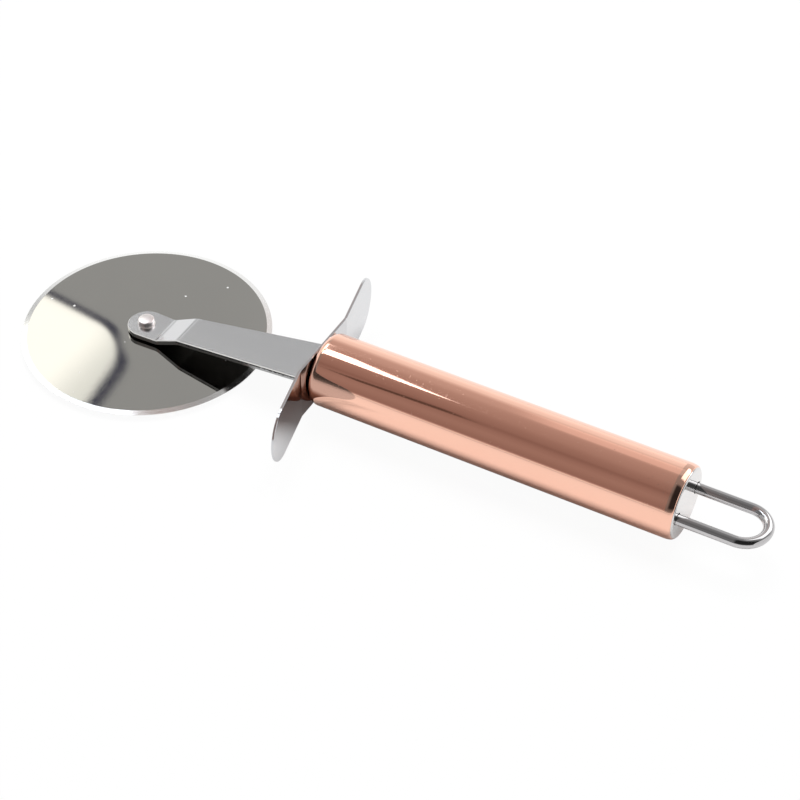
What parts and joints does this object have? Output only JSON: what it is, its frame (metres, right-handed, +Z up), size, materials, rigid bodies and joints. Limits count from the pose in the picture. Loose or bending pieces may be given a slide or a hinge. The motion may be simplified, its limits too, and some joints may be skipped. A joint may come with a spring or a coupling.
{
  "type": "pizza cutter wheel",
  "caption": "Hand-held pizza cutter: a bevelled steel wheel on a cranked flat arm, with a bent thumb guard and a round copper handle ending in a wire hanging loop.",
  "frame": {"origin": "on the table, under the middle of the tool's length and width, level with the underside of the rivet's head", "axes": "+X along the handle from the wheel towards the hanging loop, +Y across the tool, +Z up along the wheel's axis"},
  "size_m": [0.2394, 0.076, 0.025],
  "materials": {
    "blade_steel": "mirror-polished stainless steel with fine brushing",
    "rivet_steel": "bright steel",
    "washer_steel": "plain steel",
    "arm_steel": "satin stainless sheet",
    "guard_steel": "polished stainless sheet",
    "copper_plate": "polished rose-copper plating",
    "black_plastic": "moulded black plastic",
    "cap_steel": "mirror-polished steel",
    "wire_steel": "bright steel wire"
  },
  "bodies": {
    "tool": {"pivot_rivet": "rivet_steel", "lower_washer": "washer_steel", "spacer_washer": "washer_steel", "arm": "arm_steel", "guard": "guard_steel", "front_bush": "black_plastic", "handle_tube": "copper_plate", "end_cap": "cap_steel", "rear_core": "black_plastic", "hanging_loop": "wire_steel"},
    "wheel": {"blade": "blade_steel"}
  },
  "joints": [
    {"name": "blade_spin", "type": "hinge", "parent": "tool", "child": "wheel", "pos_m": [-0.0817, 0, 0.00195], "axis": [0, 0, 1], "continuous": true}
  ]
}
